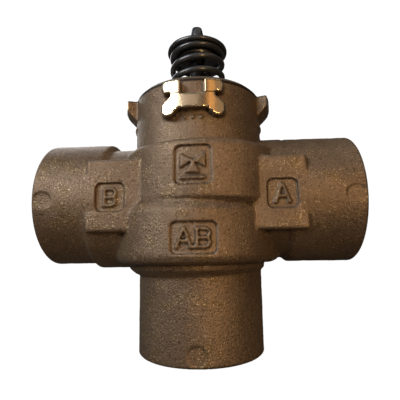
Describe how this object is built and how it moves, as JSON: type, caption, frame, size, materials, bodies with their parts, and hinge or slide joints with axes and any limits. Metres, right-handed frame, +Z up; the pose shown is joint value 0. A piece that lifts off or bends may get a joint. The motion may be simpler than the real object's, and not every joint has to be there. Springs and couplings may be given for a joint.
{
  "type": "diverter valve",
  "caption": "Three-way heating diverter valve: sand-cast bronze tee body with threaded side and bottom ports, bayonet neck and a spring-returned stem with spool.",
  "frame": {"origin": "centre of the common (AB) port's bottom face", "axes": "+Z up the stem, +X out of port A, -Y towards the side that carries the port letters"},
  "size_m": [0.072, 0.0398, 0.0835],
  "materials": {
    "cast_bronze": "sand-cast bronze, satin, machined bright on ports and lugs",
    "turned_brass": "turned brass",
    "cage_plastic": "moulded glass-filled plastic",
    "seal_rubber": "moulded rubber",
    "white_ptfe": "turned low-friction plastic",
    "dark_steel": "ground and darkened",
    "black_steel": "black oxide, oiled",
    "spring_steel": "phosphated",
    "stainless": "stamped stainless steel"
  },
  "bodies": {
    "housing": {"valve_body": "cast_bronze", "cage": "cage_plastic", "cage_seal_lower": "seal_rubber", "cage_seal_middle": "seal_rubber", "cage_seal_upper": "seal_rubber", "bonnet": "turned_brass", "bonnet_seal": "seal_rubber", "stem_seal_lower": "seal_rubber", "backup_ring": "white_ptfe", "stem_seal_upper": "seal_rubber", "gland_bush": "white_ptfe", "gland_nut": "turned_brass", "wiper_ring": "seal_rubber", "retaining_ring": "spring_steel", "spring_seat": "stainless", "return_spring": "black_steel"},
    "stem_unit": {"stem": "dark_steel", "spool": "turned_brass", "spool_seal_lower": "seal_rubber", "spool_seal_upper": "seal_rubber", "spool_washer": "stainless", "spool_nut": "stainless", "spring_cap": "black_steel", "stem_clip": "stainless"}
  },
  "joints": [
    {"name": "stem_slide", "type": "slide", "parent": "housing", "child": "stem_unit", "axis": [0, 0, -1], "range_m": [0, 0.0086], "stiffness_N_per_m": 5000, "springref_m": -0.004, "deforming": ["return_spring"]}
  ]
}
